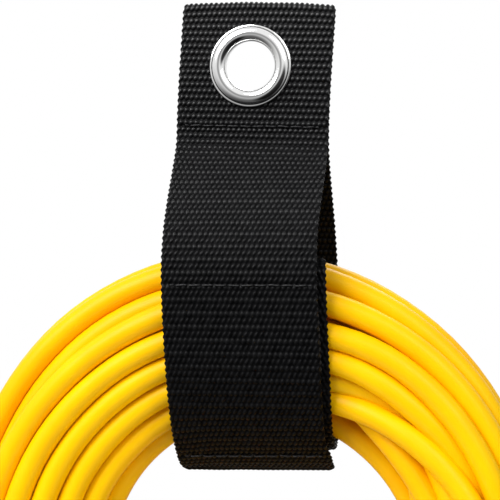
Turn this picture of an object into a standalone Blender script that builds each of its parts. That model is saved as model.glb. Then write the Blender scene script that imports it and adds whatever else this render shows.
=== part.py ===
"""Extension cord, coiled and hung in a webbing storage strap.

The origin is the centre of the strap's grommet. +Z is up, +X is to the right and -Y is the front.
Lengths are written in millimetres and multiplied by MM, because the scene is in metres.
"""

import bpy
import bmesh
from math import cos, pi, radians, sin, sqrt
from mathutils import Matrix, Vector
from mathutils.geometry import interpolate_bezier

MM = 0.001
GAP = 0.3 * MM

# Strap: 2 in webbing, folded at the top, with hook and loop tape where the front flap closes.
# The grommet sits a little to the left of the strap's middle, which is at STRAP_X.
WEBBING_WIDTH = 50.8 * MM
STRAP_X = 1.6 * MM
WEBBING = 1.6 * MM
TAPE_WIDTH = 46.0 * MM
TAPE = 0.8 * MM
LAYER_OFFSET = WEBBING / 2 + GAP / 2
FOLD_CENTRE_Z = 19.3 * MM
TAB_BOTTOM_Z = -21.9 * MM
FLAP_HINGE_Z = -23.0 * MM
TAB_SEAM_Z = -20.3 * MM
FLAP_SEAM_Z = -73.0 * MM
FLAP_END_SEAM_Z = -127.0 * MM

# Middle lines of the strap's layers from the side, as (y, z).
FRONT_ROUTE = [
    (-LAYER_OFFSET, FLAP_HINGE_Z),
    (-2.4 * MM, -28.0 * MM),
    (-8.6 * MM, -36.0 * MM),
    (-17.0 * MM, -46.0 * MM),
    (-23.6 * MM, -56.0 * MM),
    (-27.0 * MM, -66.0 * MM),
    (-27.8 * MM, -76.0 * MM),
    (-27.4 * MM, -88.0 * MM),
    (-25.6 * MM, -100.0 * MM),
    (-21.8 * MM, -111.0 * MM),
    (-16.0 * MM, -121.0 * MM),
    (-8.2 * MM, -129.2 * MM),
    (-0.6 * MM, -133.2 * MM),
]
BACK_ROUTE = [
    (LAYER_OFFSET, TAB_BOTTOM_Z - GAP),
    (2.2 * MM, -28.0 * MM),
    (8.0 * MM, -38.0 * MM),
    (15.6 * MM, -50.0 * MM),
    (20.8 * MM, -62.0 * MM),
    (23.4 * MM, -74.0 * MM),
    (23.8 * MM, -88.0 * MM),
    (22.8 * MM, -101.0 * MM),
    (19.8 * MM, -111.6 * MM),
]
UNDER_ROUTE = [
    (18.8 * MM, -113.6 * MM),
    (12.6 * MM, -121.8 * MM),
    (4.6 * MM, -126.2 * MM),
    (-4.0 * MM, -125.6 * MM),
    (-12.6 * MM, -119.8 * MM),
    (-18.4 * MM, -110.6 * MM),
]
WRAP_TOP_Z = -60.5 * MM
WRAP_JOIN_Z = -101.0 * MM
LOOP_TAPE_SPAN = (-66.0 * MM, -100.0 * MM)
HOOK_TAPE_SPAN = (-71.0 * MM, -117.0 * MM)
STITCH = 3.6 * MM
STITCH_RISE = 0.35 * MM
THREAD_RADIUS = 0.3 * MM

# Cord: three-core, coiled by hand into a ring that hangs in the strap. The ring's hole sits low in it,
# because the turns bunch up where the strap holds them.
CORD = 8.0 * MM
COIL_X = -2.6 * MM
COIL_CENTRE_Z = -158.2 * MM
COIL_OUTER = 97.6 * MM
COIL_HOLE = 51.0 * MM
HOLE_SHIFT = (6.1 * MM, -9.2 * MM)
COIL_HALF_DEPTH = 20.2 * MM
COIL_EGG = 0.3
COIL_ROUNDING = 0.75
LEAD_OFFSET = 93.4 * MM

# Grommet: turned profile as (radius, y), seen from the front at -Y.
HOLE_RADIUS = 7.9 * MM
BARREL_RADIUS = 9.0 * MM
FLANGE_RADIUS = 13.6 * MM
FLANGE_CROWN = 4.2 * MM

# Plug and connector: NEMA 5-15 layout. Heights are measured up from the mating face.
FACE_Z = -335.0 * MM
BLADE_SPACING = 12.7 * MM
BLADE_V = 3.33 * MM
GROUND_V = -8.56 * MM
BLADE_THICK = 1.5 * MM
BLADE_WIDTH = 6.35 * MM
BLADE_LENGTH = 16.0 * MM
GROUND_RADIUS = 2.4 * MM
GROUND_LENGTH = 19.0 * MM
BODY_LENGTH = 38.0 * MM
RELIEF_LENGTH = 32.0 * MM
CORD_BORE = CORD / 2 + GAP
LEAD_DEPTH = 29.0 * MM
CONDUCTOR_RADIUS = 1.3 * MM
CONDUCTOR_SPREAD = 1.7 * MM
INSERT_DEPTH = 6.0 * MM
CONTACT_START = INSERT_DEPTH + GAP

# Finishes: colour, roughness and, on metal, metallic.
CLOTH = ((0.02, 0.02, 0.022), 0.85)
TAPE_FINISH = ((0.03, 0.03, 0.032), 0.95)
THREAD = ((0.04, 0.04, 0.042), 0.6)
NICKEL = ((0.8, 0.8, 0.8), 0.12, 1.0)
BRASS = ((0.75, 0.62, 0.35), 0.3, 1.0)
YELLOW = ((0.95, 0.68, 0.02), 0.4)
DARK_YELLOW = ((0.85, 0.55, 0.02), 0.45)
WIRES = (
    ("live", (0.02, 0.02, 0.02)),
    ("neutral", (0.85, 0.85, 0.82)),
    ("ground", (0.05, 0.35, 0.08)),
)


def clear_scene():
    for item in list(bpy.data.objects):
        bpy.data.objects.remove(item)


def new_collection(name):
    group = bpy.data.collections.new(name)
    bpy.context.scene.collection.children.link(group)
    return group


def material(name, colour, roughness, metallic=0.0):
    result = bpy.data.materials.new(name)
    result.use_nodes = True
    shader = result.node_tree.nodes["Principled BSDF"]
    shader.inputs["Base Color"].default_value = (*colour, 1.0)
    shader.inputs["Roughness"].default_value = roughness
    shader.inputs["Metallic"].default_value = metallic
    return result


def place(name, data, finish, matrix=None):
    """Link data as the named object of the model."""
    data.name = name
    data.materials.clear()
    data.materials.append(material(name, *finish))
    item = bpy.data.objects.new(name, data)
    item.matrix_world = matrix or Matrix.Identity(4)
    PARTS.objects.link(item)
    return item


def mesh_from(build):
    """A mesh made by build, which fills a bmesh."""
    draft = bmesh.new()
    build(draft)
    mesh = bpy.data.meshes.new("draft")
    draft.to_mesh(mesh)
    draft.free()
    return mesh


def shade(mesh, angle=40):
    mesh.shade_smooth()
    mesh.set_sharp_from_angle(angle=radians(angle))


# Lines


def smooth_line(route, spacing):
    """Points about one spacing apart along a smooth curve through the route."""
    points = [Vector((0.0, *p)) if len(p) == 2 else Vector(p) for p in route]
    ends = [2 * points[0] - points[1], *points, 2 * points[-1] - points[-2]]
    line = [points[0]]
    for before, start, stop, after in zip(ends, ends[1:], ends[2:], ends[3:]):
        pieces = max(1, round((stop - start).length / spacing))
        reach = (stop - start).length / 3
        leaving = start + (stop - before).normalized() * reach
        arriving = stop - (after - start).normalized() * reach
        line += interpolate_bezier(start, leaving, arriving, stop, pieces + 1)[1:]
    return line


def normals_of(line):
    """For a line in the YZ plane that runs down the front: unit normals pointing outwards."""
    normals = []
    for i in range(len(line)):
        along = line[min(i + 1, len(line) - 1)] - line[max(i - 1, 0)]
        normals.append(Vector((0.0, along.z, -along.y)).normalized())
    return normals


def inside(line, distance):
    """The line moved towards the bundle by distance."""
    return [p - n * distance for p, n in zip(line, normals_of(line))]


def between(line, high, low):
    return [p for p in line if low <= p.z <= high]


def point_at(line, z):
    """The line's point and outward normal nearest to height z."""
    normals = normals_of(line)
    i = min(range(len(line)), key=lambda k: abs(line[k].z - z))
    return line[i], normals[i]


# Shapes


def strip(name, line, width, thickness, finish):
    """A band of cloth whose middle follows line and runs across X."""
    edges = (STRAP_X - width / 2, STRAP_X + width / 2)
    rows = [(x, p.y, p.z) for p in line for x in edges]
    faces = [(2 * i, 2 * i + 1, 2 * i + 3, 2 * i + 2) for i in range(len(line) - 1)]
    mesh = bpy.data.meshes.new("draft")
    mesh.from_pydata(rows, [], faces)
    shade(mesh)
    item = place(name, mesh, finish)
    thicken = item.modifiers.new("thickness", "SOLIDIFY")
    thicken.thickness = thickness
    thicken.offset = 0.0
    thicken.use_even_offset = True
    return item


def turned(name, profile, steps, finish, matrix):
    """A closed profile of (radius, height) turned about its own +Z, placed by matrix."""
    area = sum(
        a[0] * b[1] - b[0] * a[1] for a, b in zip(profile, profile[1:] + profile[:1])
    )
    points = list(profile) if area < 0 else list(reversed(profile))
    count = len(points)
    mesh = bpy.data.meshes.new("draft")
    edges = [(i, (i + 1) % count) for i in range(count)]
    mesh.from_pydata([(r, 0.0, h) for r, h in points], edges, [])
    item = place(name, mesh, finish, matrix)
    turn = item.modifiers.new("turn", "SCREW")
    turn.steps = steps
    turn.render_steps = steps
    turn.use_merge_vertices = True
    turn.merge_threshold = 0.00001
    turn.use_smooth_shade = True
    return item


def turned_solid(name, profile, steps, finish, matrix):
    """A turned piece with no bore: its open profile starts and ends on the axis."""
    mesh = bpy.data.meshes.new("draft")
    edges = [(i, i + 1) for i in range(len(profile) - 1)]
    downwards = list(reversed(profile))
    mesh.from_pydata([(r, 0.0, h) for r, h in downwards], edges, [])
    item = place(name, mesh, finish, matrix)
    turn = item.modifiers.new("turn", "SCREW")
    turn.steps = steps
    turn.render_steps = steps
    turn.use_merge_vertices = True
    turn.merge_threshold = 0.00001
    return item


def tube(name, points, radius, finish, resolution=2):
    curve = bpy.data.curves.new(name, "CURVE")
    curve.dimensions = "3D"
    curve.bevel_depth = radius
    curve.bevel_resolution = resolution
    curve.use_fill_caps = True
    spline = curve.splines.new("POLY")
    spline.points.add(len(points) - 1)
    for target, point in zip(spline.points, points):
        target.co = (*point, 1.0)
    return place(name, curve, finish)


def block(name, size, centre, finish, bevel=0.0):
    def build(draft):
        bmesh.ops.create_cube(draft, size=1.0)
        bmesh.ops.scale(draft, vec=size, verts=draft.verts)

    item = place(name, mesh_from(build), finish, Matrix.Translation(centre))
    if bevel:
        edge = item.modifiers.new("edge", "BEVEL")
        edge.width = bevel
        edge.segments = 2
    return item


def disc(name, radius, height, centre, finish, sides=32):
    def build(draft):
        bmesh.ops.create_cone(
            draft,
            cap_ends=True,
            segments=sides,
            radius1=radius,
            radius2=radius,
            depth=height,
        )

    return place(name, mesh_from(build), finish, Matrix.Translation(centre))


def cut(item, cutter):
    """Take cutter out of item and keep it as a wire guide."""
    PARTS.objects.unlink(cutter)
    CUTTERS.objects.link(cutter)
    cutter.hide_render = True
    cutter.display_type = "WIRE"
    hole = item.modifiers.new(cutter.name, "BOOLEAN")
    hole.object = cutter
    hole.operation = "DIFFERENCE"
    hole.solver = "EXACT"


# Strap


def fold_line():
    """The tab's middle line: up the front layer, over the fold and down the back layer."""
    bends = 10
    arc = [
        Vector((0.0, -LAYER_OFFSET * cos(pi * i / bends), FOLD_CENTRE_Z + LAYER_OFFSET * sin(pi * i / bends)))
        for i in range(bends + 1)
    ]
    foot = Vector((0.0, 0.0, TAB_BOTTOM_Z))
    return [foot + Vector((0.0, -LAYER_OFFSET, 0.0)), *arc, foot + Vector((0.0, LAYER_OFFSET, 0.0))]


def tab_and_back():
    tab = strip("tab_webbing", fold_line(), WEBBING_WIDTH, WEBBING, CLOTH)
    hole = disc("grommet_hole", BARREL_RADIUS + GAP, 12.0 * MM, (0.0, 0.0, 0.0), CLOTH)
    hole.matrix_world = Matrix.Rotation(pi / 2, 4, "X")
    cut(tab, hole)
    back = smooth_line(BACK_ROUTE, 6.0 * MM)
    strip("back_strap", back, WEBBING_WIDTH, WEBBING, CLOTH)


def front_layers():
    """The front flap with its hook tape, and the wrap strap with its loop tape inside it."""
    front = smooth_line(FRONT_ROUTE, 5.0 * MM)
    hook = WEBBING / 2 + GAP + TAPE / 2
    loop = hook + TAPE + GAP
    wrap = loop + TAPE / 2 + GAP + WEBBING / 2
    strip("front_flap", front, WEBBING_WIDTH, WEBBING, CLOTH)
    hook_line = between(inside(front, hook), *HOOK_TAPE_SPAN)
    strip("hook_tape", hook_line, TAPE_WIDTH, TAPE, TAPE_FINISH)
    loop_line = between(inside(front, loop), *LOOP_TAPE_SPAN)
    strip("loop_tape", loop_line, TAPE_WIDTH, TAPE, TAPE_FINISH)
    rising = between(inside(front, wrap), WRAP_TOP_Z, WRAP_JOIN_Z)[::-1]
    under = smooth_line(UNDER_ROUTE, 5.0 * MM)
    strip("wrap_strap", under + rising, WEBBING_WIDTH, WEBBING, CLOTH)
    return front


def stitch_row(name, origin, normal, width):
    """One sewing thread that rises over each stitch and dips between them, across X."""
    stitches = round(width / STITCH)
    low = WEBBING / 2 + GAP + THREAD_RADIUS
    points = []
    for i in range(2 * stitches + 1):
        lift = low + (STITCH_RISE if i % 2 else 0.0)
        x = STRAP_X - width / 2 + width * i / (2 * stitches)
        points.append(Vector((x, origin.y, origin.z)) + normal * lift)
    tube(name, points, THREAD_RADIUS, THREAD, resolution=0)


def threads(front):
    width = WEBBING_WIDTH - 6.0 * MM
    for name, side in (("tab_seam_front_thread", -1), ("tab_seam_back_thread", 1)):
        layer = Vector((0.0, side * LAYER_OFFSET, TAB_SEAM_Z))
        stitch_row(name, layer, Vector((0.0, side, 0.0)), width)
    stitch_row("flap_upper_thread", *point_at(front, FLAP_SEAM_Z), width)
    stitch_row("flap_end_thread", *point_at(front, FLAP_END_SEAM_Z), width)


def grommet():
    """The eyelet and, behind the webbing, the washer that its barrel is rolled over."""
    face = WEBBING + GAP / 2 + GAP
    washer_back = face + 0.5 * MM
    lip = washer_back + GAP
    crown = [
        (HOLE_RADIUS, 2.7 * MM),
        (HOLE_RADIUS + 0.6 * MM, 3.5 * MM),
        (HOLE_RADIUS + 1.5 * MM, FLANGE_CROWN - 0.1 * MM),
        (HOLE_RADIUS + 2.5 * MM, FLANGE_CROWN),
        (HOLE_RADIUS + 3.6 * MM, FLANGE_CROWN - 0.4 * MM),
        (FLANGE_RADIUS - 0.3 * MM, 2.9 * MM),
        (FLANGE_RADIUS, face),
        (BARREL_RADIUS, face),
        (BARREL_RADIUS, -lip),
        (BARREL_RADIUS + 1.3 * MM, -lip),
        (BARREL_RADIUS + 1.4 * MM, -lip - 0.5 * MM),
        (BARREL_RADIUS + 0.7 * MM, -lip - 1.0 * MM),
        (BARREL_RADIUS - 0.2 * MM, -lip - 1.1 * MM),
        (HOLE_RADIUS, -lip - 0.6 * MM),
    ]
    facing = Matrix.Rotation(pi / 2, 4, "X")
    turned("grommet", crown, 32, NICKEL, facing)
    inner = BARREL_RADIUS + GAP
    ring = [(inner, -face), (FLANGE_RADIUS, -face), (FLANGE_RADIUS, -washer_back), (inner, -washer_back)]
    turned("grommet_washer", ring, 32, NICKEL, facing)


# Cord


def hole_edge(turn):
    """Distance from the coil's centre to the edge of its hole, in the direction turn from +X."""
    along = HOLE_SHIFT[0] * cos(turn) + HOLE_SHIFT[1] * sin(turn)
    across = HOLE_SHIFT[1] * cos(turn) - HOLE_SHIFT[0] * sin(turn)
    return along + sqrt(COIL_HOLE**2 - across**2)


def coil_section(turn, sides):
    """The ring's egg-shaped section in one direction, as (radius, y), deeper towards its outside."""
    inner = hole_edge(turn)
    middle = (COIL_OUTER + inner) / 2
    half = (COIL_OUTER - inner) / 2
    top_half = (COIL_OUTER - hole_edge(pi / 2)) / 2
    reach = COIL_HALF_DEPTH * (top_half / half) ** COIL_ROUNDING
    section = []
    for i in range(sides):
        angle = 2 * pi * i / sides
        depth = reach * sin(angle) * (1 + COIL_EGG * cos(angle))
        section.append((middle + half * cos(angle), depth))
    return section


def coil():
    """The coil's outer shape: a loft of sections round the ring, each as thick as its turns need."""
    steps = 60
    sides = 20
    rows = []
    for i in range(steps):
        turn = 2 * pi * i / steps
        for radius, y in coil_section(turn, sides):
            rows.append((COIL_X + radius * cos(turn), y, COIL_CENTRE_Z + radius * sin(turn)))
    faces = []
    for i in range(steps):
        for j in range(sides):
            here, over = i * sides, (i + 1) % steps * sides
            beside = (j + 1) % sides
            faces.append((here + beside, over + beside, over + j, here + j))
    mesh = bpy.data.meshes.new("draft")
    mesh.from_pydata(rows, [], faces)
    shade(mesh)
    place("coil", mesh, YELLOW)


def lead_x(side):
    return COIL_X + side * LEAD_OFFSET


def lead(name, side):
    """The stretch of cord that hangs from the coil to the plug or the connector."""
    inner_edge = LEAD_OFFSET - CORD / 2
    top = COIL_CENTRE_Z - sqrt(COIL_OUTER**2 - inner_edge**2) - GAP
    relief_top = FACE_Z + BODY_LENGTH + RELIEF_LENGTH
    bow = 2.0 * MM
    pieces = 6
    points = []
    for i in range(pieces + 1):
        share = i / pieces
        swell = side * bow * sin(pi * share) ** 2
        points.append((lead_x(side) - swell, 0.0, top + (relief_top - top) * share))
    points.append((lead_x(side), 0.0, FACE_Z + LEAD_DEPTH))
    tube(name, smooth_line(points, 20.0 * MM), CORD / 2, YELLOW)


def lead_frame(side):
    return Matrix.Translation((lead_x(side), 0.0, FACE_Z))


def strain_relief(name, side):
    """A tapered sleeve with grooves that let it bend."""
    grooves = 5
    start = BODY_LENGTH + GAP
    stop = BODY_LENGTH + RELIEF_LENGTH
    outer = []
    for i in range(grooves):
        for share, depth in ((0.0, 0.0), (0.55, 0.0), (0.6, 1.0), (0.95, 1.0)):
            along = (i + share) / grooves
            radius = 7.6 * MM - 2.2 * MM * along - depth * MM
            outer.append((max(radius, CORD_BORE + 0.7 * MM), start + (stop - start) * along))
    outer.append((5.6 * MM, stop))
    bore = [(CORD_BORE, stop), (CORD_BORE, start)]
    turned(name, outer + bore, 16, DARK_YELLOW, lead_frame(side))


def hollow_body(name, side, front_radius, recess, finish):
    """A moulded shell, open at the face, with grip rings and a bore for the cord at the back."""
    outer = [
        (front_radius - 0.8 * MM, 0.0),
        (front_radius, 0.8 * MM),
        (front_radius, 12.0 * MM),
        (front_radius - 1.6 * MM, 15.0 * MM),
        (front_radius - 1.6 * MM, 17.0 * MM),
        (front_radius - 0.6 * MM, 18.5 * MM),
        (front_radius - 2.2 * MM, 21.0 * MM),
        (front_radius - 2.2 * MM, 23.0 * MM),
        (front_radius - 1.4 * MM, 24.5 * MM),
        (11.2 * MM, 28.5 * MM),
        (9.6 * MM, BODY_LENGTH - 1.0 * MM),
        (8.8 * MM, BODY_LENGTH),
    ]
    inner = [
        (CORD_BORE, BODY_LENGTH),
        (CORD_BORE, 29.5 * MM),
        (recess - 3.2 * MM, 22.0 * MM),
        (recess, 14.0 * MM),
        (recess, 0.0),
    ]
    return turned(name, outer + inner, 28, finish, lead_frame(side))


def conductors(prefix, side, tails, top):
    """Three insulated wires from the cord's cut end to the tails, given as (u, v, height)."""
    for i, (wire, colour) in enumerate(WIRES):
        angle = pi / 6 + 2 * pi * i / 3
        u, v, height = tails[wire]
        near = Vector((CONDUCTOR_SPREAD * cos(angle), CONDUCTOR_SPREAD * sin(angle), top))
        tail = Vector((u, v, height))
        route = [near, near - Vector((0.0, 0.0, 3.0 * MM)), tail + Vector((0.0, 0.0, 3.0 * MM)), tail]
        line = smooth_line([tuple(p) for p in route], 3.5 * MM)
        frame = lead_frame(side)
        tube(f"{prefix}_{wire}_wire", [frame @ p for p in line], CONDUCTOR_RADIUS, (colour, 0.45))


def plug():
    side = 1
    frame = lead_frame(side)
    recess = 12.0 * MM
    hollow_body("plug_body", side, 14.6 * MM, recess, YELLOW)
    strain_relief("plug_strain_relief", side)
    depth = 9.0 * MM
    bridge = disc("plug_bridge", recess - GAP, depth, frame @ Vector((0, 0, depth / 2)), YELLOW)
    tail = 11.5 * MM
    tails = {}
    for wire, u in (("live", BLADE_SPACING / 2), ("neutral", -BLADE_SPACING / 2)):
        height = BLADE_LENGTH + tail
        centre = frame @ Vector((u, BLADE_V, tail - height / 2))
        size = (BLADE_THICK, BLADE_WIDTH, height)
        block(f"plug_{wire}_blade", size, centre, BRASS, bevel=0.4 * MM)
        slot = (BLADE_THICK + 2 * GAP, BLADE_WIDTH + 2 * GAP, 4 * depth)
        cut(bridge, block(f"{wire}_blade_slot", slot, centre, BRASS))
        tails[wire] = (u, BLADE_V, tail + GAP)
    tip = 1.4 * MM
    pin = [
        (0.0, -GROUND_LENGTH),
        (1.2 * MM, -GROUND_LENGTH),
        (GROUND_RADIUS, tip - GROUND_LENGTH),
        (GROUND_RADIUS, tail),
        (0.0, tail),
    ]
    pin_frame = frame @ Matrix.Translation((0.0, GROUND_V, 0.0))
    turned_solid("plug_ground_pin", pin, 16, BRASS, pin_frame)
    pin_hole = pin_frame @ Vector((0, 0, depth / 2))
    cut(bridge, disc("ground_pin_hole", GROUND_RADIUS + GAP, 4 * depth, pin_hole, BRASS, sides=16))
    tails["ground"] = (0.0, GROUND_V, tail + GAP)
    conductors("plug", side, tails, LEAD_DEPTH - GAP)


def contact(name, u, v, size, gap, side):
    """A spring contact: two leaves joined at the back, open towards the mating face."""
    frame = lead_frame(side)
    start = CONTACT_START
    centre = frame @ Vector((u, v, start + size[2] / 2))
    item = block(name, size, centre, BRASS)
    mouth = (gap, size[1] + 2 * MM, size[2])
    cut(item, block(f"{name}_mouth", mouth, centre - Vector((0.0, 0.0, 3.0 * MM)), BRASS))
    return (u, v, start + size[2] + GAP)


def connector():
    side = -1
    frame = lead_frame(side)
    recess = 13.4 * MM
    hollow_body("connector_body", side, 16.2 * MM, recess, YELLOW)
    strain_relief("connector_strain_relief", side)
    depth = INSERT_DEPTH
    insert = disc("connector_insert", recess - GAP, depth, frame @ Vector((0, 0, depth / 2)), DARK_YELLOW)
    tails = {}
    for wire, u, width in (
        ("live", BLADE_SPACING / 2, 7.0 * MM),
        ("neutral", -BLADE_SPACING / 2, 8.0 * MM),
    ):
        slot_centre = frame @ Vector((u, BLADE_V, depth / 2))
        cut(insert, block(f"connector_{wire}_slot", (2.2 * MM, width, 4 * depth), slot_centre, BRASS))
        size = (4.0 * MM, 6.0 * MM, 11.0 * MM)
        tails[wire] = contact(f"connector_{wire}_contact", u, BLADE_V, size, 2.0 * MM, side)
    hole_centre = frame @ Vector((0.0, GROUND_V, depth / 2))
    cut(insert, disc("connector_ground_hole", 2.75 * MM, 4 * depth, hole_centre, BRASS, sides=16))
    size = (7.0 * MM, 4.4 * MM, 11.0 * MM)
    tails["ground"] = contact("connector_ground_contact", 0.0, GROUND_V + 0.6 * MM, size, 5.0 * MM, side)
    conductors("connector", side, tails, LEAD_DEPTH - GAP)


clear_scene()
PARTS = new_collection("extension_cord")
CUTTERS = new_collection("cutters")
tab_and_back()
threads(front_layers())
grommet()
coil()
lead("plug_lead", 1)
lead("connector_lead", -1)
plug()
connector()
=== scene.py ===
"""The looks of an extension cord that hangs, coiled, in a webbing storage strap.

Everything is in metres in the row frame: the origin is the centre of the strap's grommet, +Z is up,
+X is to the right and -Y is the front. Lengths are written in millimetres and multiplied by MM.
"""

from math import cos, pi, radians, sin, sqrt

import bmesh
import bpy
import numpy as np
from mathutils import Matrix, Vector
from mathutils.geometry import interpolate_bezier


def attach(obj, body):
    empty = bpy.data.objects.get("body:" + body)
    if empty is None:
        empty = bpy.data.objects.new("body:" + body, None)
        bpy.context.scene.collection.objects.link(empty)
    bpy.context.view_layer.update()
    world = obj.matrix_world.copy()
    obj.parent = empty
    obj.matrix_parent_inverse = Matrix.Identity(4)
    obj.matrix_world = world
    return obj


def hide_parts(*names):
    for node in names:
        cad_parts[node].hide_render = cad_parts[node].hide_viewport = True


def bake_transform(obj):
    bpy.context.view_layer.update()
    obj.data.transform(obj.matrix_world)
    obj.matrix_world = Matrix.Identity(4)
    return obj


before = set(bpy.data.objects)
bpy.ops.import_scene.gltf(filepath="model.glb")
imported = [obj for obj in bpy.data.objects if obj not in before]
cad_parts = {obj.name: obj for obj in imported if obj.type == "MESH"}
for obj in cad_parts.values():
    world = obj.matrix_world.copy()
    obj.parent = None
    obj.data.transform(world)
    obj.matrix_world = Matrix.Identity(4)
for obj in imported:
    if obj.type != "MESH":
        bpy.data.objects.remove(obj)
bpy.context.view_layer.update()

MM = 0.001
GAP = 0.3 * MM

# Cord
CORD = 8.0 * MM
COIL_X = -2.6 * MM
COIL_CENTRE_Z = -158.2 * MM
COIL_OUTER = 97.6 * MM
COIL_HOLE = 51.0 * MM
HOLE_SHIFT = (6.1 * MM, -9.2 * MM)
COIL_HALF_DEPTH = 20.2 * MM
COIL_EGG = 0.3
COIL_ROUNDING = 0.75
LEAD_OFFSET = 93.4 * MM
FACE_Z = -335.0 * MM
LEAD_DEPTH = 29.0 * MM
BODY_LENGTH = 38.0 * MM
RELIEF_LENGTH = 32.0 * MM
CORD_BORE = CORD / 2 + GAP
TURNS = 25.5
PER_TURN = 96
LEAD_SLICES = 6
TUBE_SIDES = 20
CORE_TWIST = 34.0 * MM
LEAD_BOW = 2.0 * MM

# How the turns are packed. BEND_LIMIT is how far a point may stray from the middle of its neighbours
# before the cord counts as sharply bent.
PACKING_SEED = 33
PACKING_STEPS = 700
CLOSING_PASSES = 12
PUSH = 0.4
BEND_LIMIT = 0.16 * MM
EASE = 0.12
EASE_SHARP = 0.5

# One turn keeps to the coil's outer edge, one to the edge of its hole, and one crosses in front of the
# others to the right of the strap. That one's route is a direction from +X, in degrees, and a distance
# from the coil's centre.
OUTER_TURN = 3
INNER_TURN = 9
CROSSING_TURN = 14
CROSSING = [
    (112.0, 48.0 * MM),
    (90.0, 49.5 * MM),
    (72.0, 52.5 * MM),
    (57.0, 57.5 * MM),
    (45.0, 63.0 * MM),
    (33.0, 68.4 * MM),
    (23.0, 73.0 * MM),
    (13.0, 78.0 * MM),
    (0.0, 83.0 * MM),
    (-15.0, 86.5 * MM),
    (-35.0, 88.0 * MM),
]

# Strap
WEBBING_WIDTH = 50.8 * MM
WEBBING = 1.6 * MM
TAPE_WIDTH = 46.0 * MM
TAPE = 0.8 * MM
LAYER_OFFSET = WEBBING / 2 + GAP / 2
STRAP_X = 1.6 * MM
FOLD_CENTRE_Z = 19.3 * MM
TAB_BOTTOM_Z = -21.9 * MM
TAB_SEAM_Z = -20.3 * MM
FLAP_SEAM_Z = -71.9 * MM
FLAP_END_SEAM_Z = -127.0 * MM
FLAP_HINGE_Z = -23.0 * MM
WRAP_TOP_Z = -60.5 * MM
WRAP_JOIN_Z = -101.0 * MM
LOOP_TAPE_SPAN = (-66.0 * MM, -100.0 * MM)
HOOK_TAPE_SPAN = (-71.0 * MM, -117.0 * MM)
STITCH = 4.2 * MM
THREAD_RADIUS = 0.3 * MM
ROW_PITCH = 2.12 * MM
COLUMN_PITCH = 1.72 * MM
WEAVE_STEPS = 6
WEAVE_RELIEF = 0.65 * MM

# Middle lines of the strap's layers from the side, as (y, z).
FRONT_ROUTE = [
    (-LAYER_OFFSET, FLAP_HINGE_Z),
    (-2.4 * MM, -28.0 * MM),
    (-8.6 * MM, -36.0 * MM),
    (-17.0 * MM, -46.0 * MM),
    (-23.6 * MM, -56.0 * MM),
    (-27.0 * MM, -66.0 * MM),
    (-27.8 * MM, -76.0 * MM),
    (-27.4 * MM, -88.0 * MM),
    (-25.6 * MM, -100.0 * MM),
    (-21.8 * MM, -111.0 * MM),
    (-16.0 * MM, -121.0 * MM),
    (-8.2 * MM, -129.2 * MM),
    (-0.6 * MM, -133.2 * MM),
]
BACK_ROUTE = [
    (LAYER_OFFSET, TAB_BOTTOM_Z - GAP),
    (2.2 * MM, -28.0 * MM),
    (8.0 * MM, -38.0 * MM),
    (15.6 * MM, -50.0 * MM),
    (20.8 * MM, -62.0 * MM),
    (23.4 * MM, -74.0 * MM),
    (23.8 * MM, -88.0 * MM),
    (22.8 * MM, -101.0 * MM),
    (19.8 * MM, -111.6 * MM),
]
UNDER_ROUTE = [
    BACK_ROUTE[-1],
    (18.8 * MM, -113.6 * MM),
    (12.6 * MM, -121.8 * MM),
    (4.6 * MM, -126.2 * MM),
    (-4.0 * MM, -125.6 * MM),
    (-12.6 * MM, -119.8 * MM),
    (-18.4 * MM, -110.6 * MM),
]

# The strap hangs a little askew: how far its middle strays sideways at each height.
SWAY = [
    (1.1 * MM, 20.0 * MM),
    (-1.2 * MM, -20.3 * MM),
    (-0.6 * MM, -62.0 * MM),
    (0.6 * MM, -100.0 * MM),
    (1.0 * MM, -134.0 * MM),
]

# How its rows climb to the right at the tab and at the hem, and how far the fold's middle stands up.
TAB_TILT = -0.030
HEM_TILT = 0.024
FOLD_CROWN = 0.8 * MM

# Where the webbing is sewn, sealed, trimmed and shifted, and between which places it bends at a hinge.
SEAM_MARGIN = 3.0 * MM
SEAM_DEPTH = 0.28 * MM
SEALED = 2.6 * MM
FLAP_TRIM = 1.4 * MM
WRAP_DRIFT = 0.9 * MM

# Grommet
THROAT_RADIUS = 8.1 * MM
BARREL_RADIUS = 9.0 * MM
FLANGE_RADIUS = 13.6 * MM
FLANGE_CROWN = 4.2 * MM
CREST_RADIUS = 10.5 * MM
THROAT_DROP = 2.2 * MM
LIP = 0.35 * MM
LIP_WIDTH = 0.55 * MM
WASHER = 0.5 * MM

# View and light. A light is its name, place, side and power, and all of them face LIGHT_AIM.
CAMERA_AZIMUTH = 9.5
CAMERA_DISTANCE = 450.0 * MM
CAMERA_AIM = (-0.4 * MM, 0.0, -60.9 * MM)
LENS = 97.6
SENSOR_WIDTH = 36.0
LIGHTS = [
    ("key", (-0.55, -0.8, 0.66), 0.8, 18.4),
    ("fill", (0.6, -0.75, 0.55), 0.6, 4.6),
    ("rim", (0.1, 0.8, 0.7), 0.7, 5.0),
]
LIGHT_AIM = (0.0, 0.0, -0.12)
FLOOR_CENTRE = (0.0, 0.1, -0.42)
FLOOR_RADIUS = 0.6

# The studio's grey from its floor to its ceiling, what polished metal gains on that, and two dark flags:
# the direction of each, the cosines at its edge and its core, and how much light its core leaves.
STUDIO_LEVELS = (0.04, 0.38)
STUDIO_HEIGHTS = (-0.75, 0.35)
MIRROR_GAIN = 2.6
FLAGS = [
    ((-0.16, -0.96, 0.13), 0.93, 0.985, 0.4),
    ((0.53, -0.70, -0.48), 0.76, 0.9, 0.06),
]


# Materials


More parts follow.
